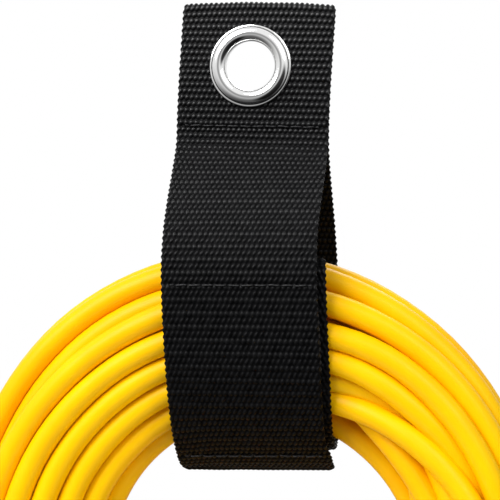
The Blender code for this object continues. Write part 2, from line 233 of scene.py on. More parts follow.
class Nodes:
    """A node tree, built one short call at a time."""

    def __init__(self, tree):
        self.tree = tree

    def add(self, kind, **values):
        node = self.tree.nodes.new(kind)
        for key, value in values.items():
            if hasattr(node, key):
                setattr(node, key, value)
            else:
                node.inputs[key.replace("_", " ").title()].default_value = value
        return node

    def link(self, source, target):
        self.tree.links.new(source, target)

    def place(self, stretch=(1, 1, 1)):
        """Object-space position, stretched, as a vector output."""
        spot = self.add("ShaderNodeTexCoord")
        sizes = self.add("ShaderNodeMapping")
        sizes.inputs["Scale"].default_value = stretch
        self.link(spot.outputs["Object"], sizes.inputs["Vector"])
        return sizes.outputs["Vector"]

    def noise(self, scale, detail=3.0, stretch=(1, 1, 1)):
        node = self.add("ShaderNodeTexNoise", Detail=detail)
        node.inputs["Scale"].default_value = scale
        self.link(self.place(stretch), node.inputs["Vector"])
        return node.outputs["Fac"]

    def ramp(self, source, stops):
        """Map source through colour stops given as (position, colour)."""
        node = self.add("ShaderNodeValToRGB")
        points = node.color_ramp.elements
        while len(points) < len(stops):
            points.new(0.5)
        for point, (position, colour) in zip(points, stops):
            point.position = position
            point.color = (*colour, 1.0)
        self.link(source, node.inputs["Fac"])
        return node.outputs["Color"]

    def span(self, source, low, high, start=0.0, stop=1.0):
        """Map source from start..stop to low..high, smoothly and no further."""
        node = self.add("ShaderNodeMapRange", interpolation_type="SMOOTHSTEP")
        node.inputs["From Min"].default_value = start
        node.inputs["From Max"].default_value = stop
        node.inputs["To Min"].default_value = low
        node.inputs["To Max"].default_value = high
        self.link(source, node.inputs["Value"])
        return node.outputs["Result"]

    def product(self, first, second):
        node = self.add("ShaderNodeMath", operation="MULTIPLY")
        self.link(first, node.inputs[0])
        self.link(second, node.inputs[1])
        return node.outputs["Value"]


class Finish(Nodes):
    """A material's nodes around its Principled shader."""

    def __init__(self, name):
        self.material = bpy.data.materials.new(name)
        self.material.use_nodes = True
        super().__init__(self.material.node_tree)
        self.shader = self.tree.nodes["Principled BSDF"]

    def set(self, name, value):
        self.shader.inputs[name].default_value = value

    def feed(self, name, source):
        self.link(source, self.shader.inputs[name])

    def bump(self, height, depth, strength):
        node = self.add("ShaderNodeBump")
        node.inputs["Strength"].default_value = strength
        node.inputs["Distance"].default_value = depth
        self.link(height, node.inputs["Height"])
        self.feed("Normal", node.outputs["Normal"])


def jacket_finish(name, light, deep, roughness):
    """Semi-gloss PVC: a slow drift in colour and gloss and a faint skin texture."""
    m = Finish(name)
    m.feed("Base Color", m.ramp(m.noise(28.0, 4.0), [(0.35, deep), (0.65, light)]))
    m.feed("Roughness", m.span(m.noise(190.0, 3.0), roughness - 0.05, roughness + 0.08))
    m.set("Specular IOR Level", 0.13)
    m.bump(m.noise(750.0, 3.0), 0.05 * MM, 0.3)
    return m.material


def webbing_finish():
    """Near-black polypropylene yarn, glossiest on the floats' crowns.

    Its reflection is weaker in the pits between the floats, as painted shade in the recesses. By height its
    gloss is partly the flap's matt weave where it presses on the coil and partly painted sheen: brightest
    at the tab, dimmest on the flap, a little brighter again at the hem.
    """
    m = Finish("black_webbing")
    tint = m.ramp(m.noise(420.0, 5.0), [(0.3, (0.0022, 0.0022, 0.0024)), (0.75, (0.007, 0.007, 0.0075))])
    m.feed("Base Color", tint)
    m.feed("Roughness", m.span(m.noise(1300.0, 2.0), 0.26, 0.46))
    spot = m.add("ShaderNodeSeparateXYZ")
    m.link(m.place(), spot.inputs["Vector"])
    height = m.add("ShaderNodeMapRange")
    height.inputs["From Min"].default_value = -130.0 * MM
    height.inputs["From Max"].default_value = 20.0 * MM
    m.link(spot.outputs["Z"], height.inputs["Value"])
    # Gloss by height: partly the flap's matt pressed weave, partly painted sheen that stands in for the
    # light falling from the tab down to the flap and rising again at the hem.
    stops = [(0.0, 0.26), (0.14, 0.10), (0.36, 0.08), (0.55, 0.24), (0.72, 0.34), (1.0, 0.6)]
    wear_and_painted_sheen = m.ramp(height.outputs["Result"], [(at, (gloss, gloss, gloss)) for at, gloss in stops])
    crown = m.add("ShaderNodeAttribute", attribute_name="pile").outputs["Fac"]
    # The reflection is weakened in the weave's pits: painted shade in the recesses.
    m.feed("Specular IOR Level", m.product(wear_and_painted_sheen, m.span(crown, 0.12, 1.0, 0.35, 0.95)))
    m.bump(m.noise(2400.0, 3.0, stretch=(2.4, 1.0, 0.6)), 0.1 * MM, 0.5)
    return m.material


def thread_finish():
    """Bonded polyester thread with a twist that shows as fine slanted ribs."""
    m = Finish("black_thread")
    tint = m.ramp(m.noise(900.0), [(0.3, (0.004, 0.004, 0.0045)), (0.7, (0.010, 0.010, 0.011))])
    m.feed("Base Color", tint)
    twist = m.add("ShaderNodeTexWave", bands_direction="DIAGONAL")
    twist.inputs["Scale"].default_value = 420.0
    m.link(m.place(), twist.inputs["Vector"])
    m.set("Roughness", 0.42)
    m.set("Specular IOR Level", 0.3)
    m.bump(twist.outputs["Fac"], 0.08 * MM, 0.6)
    return m.material


def plain_finish(name, colour, roughness, metallic=0.0, grain=600.0, depth=0.03):
    """A solid finish with a fine surface grain and a little unevenness in its gloss."""
    m = Finish(name)
    darker = tuple(0.84 * c for c in colour)
    m.feed("Base Color", m.ramp(m.noise(60.0, 4.0), [(0.3, darker), (0.7, colour)]))
    m.set("Metallic", metallic)
    m.feed("Roughness", m.span(m.noise(grain / 2, 2.0), roughness * 0.85, roughness * 1.2))
    m.bump(m.noise(grain, 3.0), depth * MM, 0.4)
    return m.material


def nickel_finish():
    """Bright nickel plate with faint polishing marks."""
    m = Finish("polished_nickel")
    m.set("Metallic", 1.0)
    m.feed("Base Color", m.ramp(m.noise(90.0), [(0.3, (0.80, 0.80, 0.80)), (0.7, (0.88, 0.88, 0.87))]))
    m.feed("Roughness", m.span(m.noise(400.0, 3.0), 0.05, 0.12))
    m.bump(m.noise(500.0, 2.0), 0.01 * MM, 0.15)
    return m.material


def floor_finish():
    m = Finish("pale_floor")
    m.feed("Base Color", m.ramp(m.noise(3.0, 3.0), [(0.3, (0.78, 0.78, 0.78)), (0.7, (0.82, 0.82, 0.82))]))
    m.set("Roughness", 0.7)
    return m.material


# Scene


def link(name, data, material=None):
    item = bpy.data.objects.new(name, data)
    bpy.context.scene.collection.objects.link(item)
    if material:
        data.materials.clear()
        data.materials.append(material)
    return item


def aim(item, target):
    way = Vector(target) - item.location
    item.rotation_euler = way.to_track_quat("-Z", "Y").to_euler()


def make_camera():
    data = bpy.data.cameras.new("camera")
    data.lens = LENS
    data.sensor_width = SENSOR_WIDTH
    data.clip_start = 0.01
    camera = link("camera", data)
    azimuth = radians(CAMERA_AZIMUTH)
    camera.location = Vector(CAMERA_AIM) + CAMERA_DISTANCE * Vector((sin(azimuth), -cos(azimuth), 0.0))
    aim(camera, CAMERA_AIM)
    bpy.context.scene.camera = camera


def make_light(name, location, size, power):
    data = bpy.data.lights.new(name, "AREA")
    data.shape = "SQUARE"
    data.size = size
    data.energy = power
    item = link(name, data)
    item.location = location
    aim(item, LIGHT_AIM)


def make_world():
    """A white studio: bright above, dim below, with two dark flags, and plain white behind.

    What polished metal mirrors is brighter than what lights the cord, as white cards would make it.
    """
    world = bpy.data.worlds.new("studio")
    world.use_nodes = True
    n = Nodes(world.node_tree)
    sky = n.add("ShaderNodeTexCoord").outputs["Generated"]
    split = n.add("ShaderNodeSeparateXYZ")
    n.link(sky, split.inputs["Vector"])
    level = n.span(split.outputs["Z"], *STUDIO_LEVELS, *STUDIO_HEIGHTS)
    for way, edge, core, left in FLAGS:
        along = n.add("ShaderNodeVectorMath", operation="DOT_PRODUCT")
        n.link(sky, along.inputs[0])
        along.inputs[1].default_value = way
        level = n.product(level, n.span(along.outputs["Value"], 1.0, left, edge, core))
    path = n.add("ShaderNodeLightPath")
    level = n.product(level, n.span(path.outputs["Is Glossy Ray"], 1.0, MIRROR_GAIN))
    plain = n.add("ShaderNodeMath", operation="MAXIMUM")
    n.link(level, plain.inputs[0])
    n.link(path.outputs["Is Camera Ray"], plain.inputs[1])
    background = n.tree.nodes["Background"]
    n.link(plain.outputs["Value"], background.inputs["Strength"])
    background.inputs["Color"].default_value = (1.0, 1.0, 1.0, 1.0)
    bpy.context.scene.world = world


def make_floor():
    draft = bmesh.new()
    bmesh.ops.create_circle(draft, cap_ends=True, segments=96, radius=FLOOR_RADIUS)
    mesh = bpy.data.meshes.new("floor")
    draft.to_mesh(mesh)
    draft.free()
    floor = link("floor", mesh, floor_finish())
    floor.location = FLOOR_CENTRE
    floor.visible_glossy = False


def make_stage():
    bpy.context.scene.view_settings.view_transform = "Standard"
    make_world()
    make_floor()
    for light in LIGHTS:
        make_light(*light)


# Lines


def smooth_line(route, spacing):
    """Points about one spacing apart along a smooth curve through the route."""
    points = [Vector((0.0, *p)) if len(p) == 2 else Vector(p) for p in route]
    ends = [2 * points[0] - points[1], *points, 2 * points[-1] - points[-2]]
    line = [points[0]]
    for before, start, stop, after in zip(ends, ends[1:], ends[2:], ends[3:]):
        pieces = max(1, round((stop - start).length / spacing))
        reach = (stop - start).length / 3
        leaving = start + (stop - before).normalized() * reach
        arriving = stop - (after - start).normalized() * reach
        line += interpolate_bezier(start, leaving, arriving, stop, pieces + 1)[1:]
    return np.array([tuple(p) for p in line])


def arc_lengths(line):
    steps = np.linalg.norm(np.diff(line, axis=0), axis=1)
    return np.concatenate([[0.0], np.cumsum(steps)])


def even_line(line, spacing):
    """The same line resampled at even steps, and the arc length at each point."""
    along = arc_lengths(line)
    count = max(2, int(round(along[-1] / spacing)) + 1)
    at = np.linspace(0.0, along[-1], count)
    return np.stack([np.interp(at, along, line[:, k]) for k in range(3)], axis=1), at


def side_normals(line):
    """For a line in a YZ plane that runs down the front: unit normals pointing outwards."""
    along = np.gradient(line, axis=0)
    normals = np.stack([np.zeros(len(line)), along[:, 2], -along[:, 1]], axis=1)
    return normals / np.linalg.norm(normals, axis=1, keepdims=True)


def inside(line, distance):
    return line - side_normals(line) * distance


def between(line, high, low):
    return line[(line[:, 2] <= high) & (line[:, 2] >= low)]


def smooth_step(value):
    t = np.clip(value, 0.0, 1.0)
    return t * t * (3 - 2 * t)


def tilt(z):
    """How steeply the rows climb to the right at height z."""
    high = smooth_step((z + 44.0 * MM) / (20.0 * MM))
    low = smooth_step((-100.0 * MM - z) / (28.0 * MM))
    return TAB_TILT * high + HEM_TILT * low


def sway(z):
    """How far the strap's middle strays sideways at height z."""
    line = smooth_line(SWAY, 1.0 * MM)[::-1]
    return np.interp(z, line[:, 2], line[:, 1])


# Meshes


def make_mesh(name, points, faces):
    """A smooth mesh from numpy points and quads, with its faces pointing out."""
    corners = points[faces]
    volume = np.einsum("ij,ij->i", corners[:, 0], np.cross(corners[:, 1], corners[:, 2])).sum()
    volume += np.einsum("ij,ij->i", corners[:, 0], np.cross(corners[:, 2], corners[:, 3])).sum()
    if volume < 0:
        faces = faces[:, ::-1]
    mesh = bpy.data.meshes.new(name)
    mesh.vertices.add(len(points))
    mesh.vertices.foreach_set("co", points.astype(np.float32).ravel())
    mesh.loops.add(faces.size)
    mesh.loops.foreach_set("vertex_index", faces.astype(np.int32).ravel())
    mesh.polygons.add(len(faces))
    mesh.polygons.foreach_set("loop_start", np.arange(0, faces.size, 4, dtype=np.int32))
    mesh.update(calc_edges=True)
    mesh.shade_smooth()
    return mesh


def ring_faces(rows, columns, closed=False):
    """Quads of a tube of rows rings, each of columns points, with capped or joined ends."""
    index = np.arange(rows * columns).reshape(rows, columns)
    here = index if closed else index[:-1]
    after = np.roll(index, -1, axis=0) if closed else index[1:]
    sides = np.stack([here, np.roll(here, -1, axis=1), np.roll(after, -1, axis=1), after], axis=-1)
    faces = [sides.reshape(-1, 4)]
    if not closed:
        j = np.arange(columns // 2 - 1)
        for ring, order in ((index[0], 1), (index[-1], -1)):
            cap = np.stack([ring[j], ring[columns - 1 - j], ring[columns - 2 - j], ring[j + 1]], axis=-1)
            faces.append(cap[:, ::order])
    return np.concatenate(faces)


def slab_faces(rows, columns, kept):
    """Quads of a slab whose two faces are grids, walled wherever a kept cell meets an absent one."""
    below = rows * columns
    index = np.arange(below).reshape(rows, columns)
    cells = np.stack([index[:-1, :-1], index[:-1, 1:], index[1:, 1:], index[1:, :-1]], axis=-1)
    faces = [cells[kept], (cells[kept] + below)[:, ::-1]]
    padded = np.pad(kept, 1)
    for di, dj, a, b in ((-1, 0, 1, 0), (1, 0, 3, 2), (0, -1, 0, 3), (0, 1, 2, 1)):
        beyond = padded[1 + di : rows + di, 1 + dj : columns + dj]
        edge = cells[kept & ~beyond]
        near, far = edge[:, a], edge[:, b]
        faces.append(np.stack([near, far, far + below, near + below], axis=-1))
    return np.concatenate(faces)


def tube(name, path, radius, sides, finish):
    """A round tube along path, whose rings are carried along it without twist."""
    along = np.gradient(path, axis=0)
    along /= np.linalg.norm(along, axis=1, keepdims=True)
    across = np.cross(along[0], (0.0, 1.0, 0.0) if abs(along[0][1]) < 0.9 else (1.0, 0.0, 0.0))
    right = np.empty_like(path)
    for i, way in enumerate(along):
        across = across - way * np.dot(across, way)
        across /= np.linalg.norm(across)
        right[i] = across
    up = np.cross(along, right)
    turn = 2 * pi * np.arange(sides) / sides
    radii = np.broadcast_to(radius, (len(path),))[:, None, None]
    ring = right[:, None] * np.cos(turn)[None, :, None] + up[:, None] * np.sin(turn)[None, :, None]
    points = (path[:, None] + ring * radii).reshape(-1, 3)
    return link(name, make_mesh(name, points, ring_faces(len(path), sides)), finish)


def rounded(corners, radius, pieces=4):
    """A closed outline whose corners are eased by about radius."""
    outline = []
    count = len(corners)
    for i, corner in enumerate(corners):
        spot = np.array(corner)
        for other, way in ((corners[i - 1], 1), (corners[(i + 1) % count], -1)):
            leg = np.array(other) - spot
            length = np.linalg.norm(leg)
            end = spot + leg / length * min(radius, 0.45 * length)
            outline.append((end, way))
    points = []
    for i, corner in enumerate(corners):
        start, stop = outline[2 * i][0], outline[2 * i + 1][0]
        for k in range(pieces + 1):
            t = k / pieces
            points.append((1 - t) ** 2 * start + 2 * t * (1 - t) * np.array(corner) + t * t * stop)
    return np.array(points)


def lathe(name, outline, steps, centre, finish, axis="z"):
    """A closed outline of (radius, height) turned about Z, or about -Y, at centre."""
    turn = (2 * pi * np.arange(steps) / steps)[:, None]
    radius, height = outline[None, :, 0], outline[None, :, 1]
    tall = np.broadcast_to(height, (steps, len(outline)))
    if axis == "z":
        parts = (radius * np.cos(turn), radius * np.sin(turn), tall)
    else:
        parts = (radius * np.cos(turn), -tall, radius * np.sin(turn))
    points = np.stack(parts, axis=-1).reshape(-1, 3) + np.array(centre)
    mesh = make_mesh(name, points, ring_faces(steps, len(outline), closed=True))
    mesh.set_sharp_from_angle(angle=radians(50))
    return link(name, mesh, finish)


# Cloth patterns: heights from 0 to 1 over the length s and the width x.


def wobble(a, b, seed, scale):
    """A smooth unevenness of about -1 to 1 over two coordinates."""
    draw = np.random.default_rng(seed)
    total = np.zeros(np.broadcast(a, b).shape)
    for _ in range(5):
        fa, fb = draw.normal(size=2) / scale
        total = total + np.sin(2 * pi * (fa * a + fb * b) + draw.uniform(0, 2 * pi))
    return total / 3.0


def woven(s, x):
    """Rows of domed floats, each row half a column on; away from the tab they slant and widen."""
    row = np.floor(s / ROW_PITCH)
    odd = row % 2
    v = s / ROW_PITCH - row - 0.5
    drawn = smooth_step((s - 42.0 * MM) / (30.0 * MM))
    drift = 0.05 * wobble(s, x, 3, 9.0 * MM)
    column = x / COLUMN_PITCH + 0.5 * odd + drift + (0.16 + 0.36 * odd * drawn) * v
    u = column - np.floor(column) - 0.5
    wide = 0.43 + (0.05 - 0.08 * odd) * drawn
    tall = 0.43 + 0.09 * drawn
    dome = 1 - (u / wide) ** 2 - (v / tall) ** 2
    return np.sqrt(np.clip(dome, 0, 1)) * (1 - 0.12 * odd)


def ribbed(s, x):
    """Fine cross ribs at the heat-sealed end."""
    return 0.4 + 0.25 * np.cos(2 * pi * s / (0.9 * MM)) + 0.1 * np.cos(2 * pi * x / COLUMN_PITCH)


def napped(s, x):
    """Loop pile: close, uneven tufts."""
    tufts = np.cos(2 * pi * s / (1.3 * MM) + 2 * wobble(s, x, 5, 4.0 * MM))
    return 0.5 + 0.5 * tufts * np.cos(2 * pi * x / (1.5 * MM) + 2 * wobble(s, x, 6, 4.0 * MM))


def hooked(s, x):
    """Rows of small upright hooks on a flat ground."""
    u = x / (1.6 * MM) % 1.0 - 0.5
    v = s / (1.4 * MM) % 1.0 - 0.5
    return np.sqrt(np.clip(1.0 - 9.0 * (u * u + v * v), 0, 1))


# Strap


class Cloth:
    """A band of cloth along a line: a closed slab whose two faces carry a pattern.

    start is how far along the pattern it begins, drift how far it strays to the right along its
    length, and trim how much narrower its right side is between the tab and the hem.
    """

    def __init__(self, name, line, width, thickness, pattern, relief, start=0.0, drift=0.0, trim=0.0):
        self.name = name
        self.width = width
        self.thickness = thickness
        self.relief = relief
        self.rows, self.at = even_line(line, ROW_PITCH / WEAVE_STEPS)
        self.length = float(self.at[-1])
        self.normals = side_normals(self.rows)
        columns = int(round(width / COLUMN_PITCH * WEAVE_STEPS)) + 1
        self.x = np.linspace(-width / 2, width / 2, columns)[None, :]
        self.s = (self.at + start)[:, None]
        self.outer = pattern(self.s - self.lag(), self.x)
        self.inner = pattern(self.s + ROW_PITCH, self.x)
        z = self.rows[:, 2]
        self.tilt = tilt(z)[:, None]
        self.crown = FOLD_CROWN * smooth_step((z - 9.0 * MM) / (11.0 * MM))[:, None]
        self.middle = STRAP_X + sway(z) + drift * smooth_step(self.at / self.length * 1.6)
        self.kept = np.ones((len(self.rows) - 1, columns - 1), dtype=bool)
        below_tab = smooth_step((-30.0 * MM - z) / (30.0 * MM))
        above_hem = smooth_step((z + 129.0 * MM) / (7.0 * MM))
        self.trim = trim * (below_tab * above_hem)[:, None]
        self.inset = 0.35 * MM * smooth_step((z - 18.6 * MM) / (1.8 * MM))
        self.groove = np.zeros(len(self.rows))

    def lag(self):
        """Rows droop a little towards the lower left corner."""
        side = smooth_step((-self.x / self.width * 2 - 0.35) / 0.65)
        low = smooth_step((-108.0 * MM - self.rows[:, 2][:, None]) / (18.0 * MM))
        return 1.6 * MM * side * low

    def seal(self, length):
        """Rib and thin the far end, and round its corners."""
        left = (self.length - self.at)[:, None]
        share = 1 - smooth_step((left - length) / (0.7 * MM))
        self.outer = self.outer * (1 - share) + ribbed(self.s, self.x) * share
        self.inner = self.inner * (1 - share) + ribbed(self.s, self.x) * share
        corner = 0.9 * MM
        near = np.clip(1 - left[:, 0] / corner, 0, 1)
        self.inset += corner * (1 - np.sqrt(1 - near**2))

    def sew(self, z):
        """Draw the cloth in along a seam at height z."""
        self.groove += SEAM_DEPTH * np.exp(-(((self.rows[:, 2] - z) / (0.8 * MM)) ** 2))

    def pierce(self, radius):
        """Leave out the cells around the row frame's Y axis."""
        x = self.middle[:, None] + self.x
        r = np.hypot(x, self.rows[:, 2][:, None])
        cells = (r[:-1, :-1] + r[1:, 1:]) / 2
        self.kept &= cells > radius

    def make(self, finish):
        half = self.width / 2
        edge = np.clip((half - np.abs(self.x)) / (self.thickness * 0.7), 0, 1)
        thin = np.sqrt(1 - (1 - edge) ** 2)
        depth = (self.thickness - self.relief) / 2 - self.groove[:, None]
        uneven = 0.12 * MM * wobble(self.s, self.x, 11, 26.0 * MM)
        skin = 0.02 * MM
        scallop = 0.2 * MM * np.cos(2 * pi * self.s / ROW_PITCH) * (self.x / half) ** 15
        x = self.x * (1 - self.inset[:, None] / half - self.trim / self.width) - self.trim / 2 + scallop
        faces = []
        for side, pattern in ((1, self.outer), (-1, self.inner)):
            lift = side * (thin * (depth + self.relief * (pattern - 0.4)) + skin) + uneven
            spots = self.rows[:, None] + self.normals[:, None] * lift[..., None]
            spots[..., 0] = self.middle[:, None] + x
            spots[..., 2] += self.tilt * self.x + self.crown * (0.5 - (self.x / half) ** 2)
            faces.append(spots.reshape(-1, 3))
        quads = slab_faces(len(self.rows), self.x.size, self.kept)
        points = np.concatenate(faces)
        used, quads = np.unique(quads, return_inverse=True)
        mesh = make_mesh(self.name, points[used], quads.reshape(-1, 4))
        pile = mesh.attributes.new("pile", "FLOAT", "POINT")
        heights = np.concatenate([self.outer.ravel(), self.inner.ravel()])[used]
        pile.data.foreach_set("value", heights.astype(np.float32))
        return link(self.name, mesh, finish)


def stitches(name, line, z, side, proud, finish):
    """Lockstitches across the cloth at height z: a thread that lies proud of it and dives at each hole."""
    i = int(np.argmin(np.abs(line[:, 2] - z)))
    normal = side_normals(line)[i] * side
    width = WEBBING_WIDTH - 2 * SEAM_MARGIN
    x = np.arange(-width / 2, width / 2, STITCH / 14)
    phase = np.abs((x / STITCH) % 1.0 - 0.5)
    dive = smooth_step((phase - 0.34) / 0.12)
    lift = WEBBING / 2 + proud - 0.9 * MM * dive
    path = line[i] + normal * lift[:, None]
    path[:, 0] = STRAP_X + sway(line[i][2]) + x
    path[:, 2] += 0.12 * MM * wobble(x, 0.0, 17, 6.0 * MM) + tilt(line[i][2]) * x
    return tube(name, path, THREAD_RADIUS, 10, finish)


def strap_lines():
    """Middle lines of the front webbing, the back webbing and the flap alone, from the fold down."""
    bends = 16
    turn = pi * np.arange(bends + 1) / bends
    fold = [(LAYER_OFFSET * cos(t), FOLD_CENTRE_Z + LAYER_OFFSET * sin(t)) for t in turn]
    leg = [(-LAYER_OFFSET, FOLD_CENTRE_Z - 2.0 * MM), (-LAYER_OFFSET, 0.0), *FRONT_ROUTE]
    front = np.concatenate([smooth_line(fold, 0.3 * MM), smooth_line(leg, 1.0 * MM)])
    back = smooth_line([(LAYER_OFFSET, FOLD_CENTRE_Z), (LAYER_OFFSET, 0.0), *BACK_ROUTE], 1.0 * MM)
    return front, back, smooth_line(FRONT_ROUTE, 1.0 * MM)


def make_tapes(flap_line, hook, loop):
    """The hook and the loop tape, whose middles lie these distances inside the flap's."""
    tape = plain_finish("black_tape", (0.009, 0.009, 0.010), 0.85, grain=1800.0, depth=0.1)
    hook_line = between(inside(flap_line, hook), *HOOK_TAPE_SPAN)
    loop_line = between(inside(flap_line, loop), *LOOP_TAPE_SPAN)
    hooks = Cloth("hook_tape_piece", hook_line, TAPE_WIDTH, TAPE, hooked, 0.3 * MM)
    loops = Cloth("loop_tape_piece", loop_line, TAPE_WIDTH, TAPE, napped, 0.35 * MM, drift=WRAP_DRIFT)
    return hooks.make(tape), loops.make(tape)


def make_webbing(front_line, back_line, wrap_line):
    """The strap's three stretches of webbing."""
    weave = (WEBBING_WIDTH, WEBBING, woven, WEAVE_RELIEF)
    front = Cloth("front_webbing", front_line, *weave, trim=FLAP_TRIM)
    back = Cloth("back_webbing", back_line, *weave)
    under = Cloth("wrap_webbing", wrap_line, *weave, start=back.length, drift=WRAP_DRIFT)
    for cloth in (front, back):
        cloth.pierce(BARREL_RADIUS + 0.5 * MM)
        cloth.sew(TAB_SEAM_Z)
    front.sew(FLAP_SEAM_Z)
    front.sew(FLAP_END_SEAM_Z)
    front.seal(SEALED)
    under.seal(SEALED)
    return front, back, under


def make_seams(front_line, back_line, flap_line):
    thread = thread_finish()
    seams = []
    for name, line, z, side, proud, body in (
        ("tab_seam_front", front_line, TAB_SEAM_Z, 1, 0.0, "strap"),
        ("tab_seam_back", back_line, TAB_SEAM_Z, -1, 0.0, "strap"),
        ("flap_upper", flap_line, FLAP_SEAM_Z, 1, 0.1 * MM, "flap"),
        ("flap_end", flap_line, FLAP_END_SEAM_Z, 1, -0.1 * MM, "flap"),
    ):
        seam = stitches(f"{name}_stitches", line, z, side, proud, thread)
        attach(seam, body)
        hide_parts(f"{name}_thread")
        seams.append(seam)
    return seams


def make_strap():
    front_line, back_line, flap_line = strap_lines()
    hook = WEBBING / 2 + GAP + TAPE / 2
    loop = hook + TAPE + GAP
    wrap = loop + TAPE / 2 + GAP + WEBBING / 2
    rising = between(inside(flap_line, wrap), WRAP_TOP_Z, WRAP_JOIN_Z)[::-1]
    wrap_line = smooth_line([*UNDER_ROUTE, *[tuple(p[1:]) for p in rising[::4]]], 1.0 * MM)
    front, back, under = make_webbing(front_line, back_line, wrap_line)
    hooks, loops = make_tapes(flap_line, hook, loop)
    black = webbing_finish()
    front_piece = front.make(black)
    back_piece = back.make(black)
    wrap_piece = under.make(black)
    seams = make_seams(front_line, back_line, flap_line)
    for piece, slot, nodes in (
        (front_piece, "webbing", ("front_flap", "tab_webbing")),
        (back_piece, "webbing", ("back_strap",)),
        (wrap_piece, "webbing", ("wrap_strap",)),
        (hooks, "hook_and_loop", ("hook_tape",)),
        (loops, "hook_and_loop", ("loop_tape",)),
    ):
        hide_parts(*nodes)
    for piece, body in ((back_piece, "strap"), (hooks, "flap"), (loops, "wrap")):
        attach(piece, body)
    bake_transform(front_piece)
    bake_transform(wrap_piece)


def crown_outline(back):
    """The eyelet's outline as (radius, height): lip, crown, throat, and its roll behind the washer."""
    face = WEBBING + GAP / 2 + 0.1 * MM
    lip = face + LIP
    ease = 0.15 * MM
    foot = FLANGE_RADIUS - LIP_WIDTH
    arc = pi / 2 * np.arange(1, 13) / 12
    outline = [(FLANGE_RADIUS, face), (FLANGE_RADIUS, lip - ease), (FLANGE_RADIUS - ease, lip), (foot, lip)]
    for a in arc:
        radius = CREST_RADIUS + (foot - CREST_RADIUS) * cos(a)
        outline.append((radius, lip + (FLANGE_CROWN - lip) * sin(a)))
    for a in arc:
        radius = CREST_RADIUS - (CREST_RADIUS - THROAT_RADIUS) * sin(a)
        outline.append((radius, FLANGE_CROWN - THROAT_DROP * (1 - cos(a))))
    outline += [(THROAT_RADIUS + ease, 1.0 * MM), (THROAT_RADIUS + 0.5 * MM, back + 1.3 * MM)]
    for a in pi * np.arange(11) / 10:
        outline.append((BARREL_RADIUS + 0.75 * MM - 0.7 * MM * cos(a), back - 0.8 * MM * sin(a)))
    outline += [(BARREL_RADIUS + 0.5 * MM, back), (BARREL_RADIUS, back + 0.4 * MM), (BARREL_RADIUS, face)]
    return np.array(outline)


def make_grommet():
    """The eyelet's rolled crown and barrel, and the washer that holds it from behind."""
    nickel = nickel_finish()
    middle = (0.0, 0.0, 0.0)
    top = -(WEBBING + GAP / 2 + GAP)
    under = top - WASHER
    crown = lathe("grommet_crown", crown_outline(under - GAP), 128, middle, nickel, axis="y")
    hole = BARREL_RADIUS + GAP
    ring = [(hole, top), (FLANGE_RADIUS, top), (FLANGE_RADIUS, under), (hole, under)]
    washer = lathe("washer_ring", rounded(ring, 0.2 * MM), 96, middle, nickel, axis="y")
    for piece, node in ((crown, "grommet"), (washer, "grommet_washer")):
        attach(piece, "strap")
        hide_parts(node)


# Cord


def hole_edge(turn):
    """Distance from the coil's centre to the edge of its hole, in the direction turn from +X."""
    along = HOLE_SHIFT[0] * np.cos(turn) + HOLE_SHIFT[1] * np.sin(turn)
    across = HOLE_SHIFT[1] * np.cos(turn) - HOLE_SHIFT[0] * np.sin(turn)
    return along + np.sqrt(COIL_HOLE**2 - across**2)


def coil_sections(turn):
    """Middle radius, half thickness and half depth of the coil in each direction."""
    inner = hole_edge(turn)
    half = (COIL_OUTER - inner) / 2
    top_half = (COIL_OUTER - hole_edge(pi / 2)) / 2
    return (COIL_OUTER + inner) / 2, half, COIL_HALF_DEPTH * (top_half / half) ** COIL_ROUNDING


def hold_in(points, half, reach, margin):
    """Points (radius from the middle, y) drawn back inside the coil's egg-shaped section."""
    u = points[..., 0] / (half - margin)
    v = points[..., 1] / ((reach - margin) * (1 + COIL_EGG * np.clip(u, -1, 1)))
    over = np.maximum(np.sqrt(u * u + v * v), 1.0)
    return points / over[..., None]


def crossing_guide(angle, middle, half, reach):
    """Where the crossing turn runs, and how firmly it is held there, in each direction."""
    stops = np.radians([a for a, _ in CROSSING])[::-1]
    radii = np.array([r for _, r in CROSSING])[::-1]
    radius = np.interp(angle, stops, radii)
    for _ in range(6):
        radius[1:-1] = (radius[:-2] + 2 * radius[1:-1] + radius[2:]) / 4
    u = (radius - middle) / (half - CORD / 2)
    bulge = (reach - CORD / 2) * (1 + COIL_EGG * u) * np.sqrt(np.clip(1 - u * u, 0.05, 1))
    held = smooth_step((angle - stops[0]) / radians(25)) * smooth_step((stops[-1] - angle) / radians(20))
    above = smooth_step((radians(62) - angle) / radians(12)) * smooth_step(angle / radians(10) + 0.5)
    proud = 1.5 * MM * above
    return np.stack([radius - middle, -bulge - proud], axis=1), 0.6 * held


def rim_guide(angle, half, side):
    """A turn that keeps to the coil's outer (side 1) or inner (side -1) edge over the upper part."""
    inset = half - CORD / 2 - 0.3 * MM
    blend = radians(30)
    held = smooth_step((angle + radians(20)) / blend) * smooth_step((radians(200) - angle) / blend)
    return np.stack([side * inset, np.zeros_like(half)], axis=1), 0.5 * held


def lay_turns(draw, strands, half, reach):
    """Starting places: each turn begins near the last one, as a hand lays it."""
    room = float(half.min()), float(reach.min())
    spots = [np.array((room[0] - CORD / 2, 0.0))]
    for _ in range(strands + 1):
        step = spots[-1] + draw.normal(size=2) * (7.0 * MM, 9.0 * MM)
        spots.append(hold_in(step, room[0], room[1], CORD / 2))
    share = np.arange(strands * PER_TURN) / PER_TURN
    spots = np.array(spots)
    return np.stack([np.interp(share, np.arange(len(spots)), spots[:, k]) for k in range(2)], axis=1)


def pushed_apart(grid, size, pairs):
    """How far each point moves off the turns that are nearer to it than size."""
    gap = grid[:, None] - grid[None]
    far = np.sqrt((gap * gap).sum(axis=-1)) + 1e-9
    press = np.clip(size - far, 0, None) * pairs
    return ((gap / far[..., None]) * press[..., None]).sum(axis=1).reshape(-1, 2) * PUSH


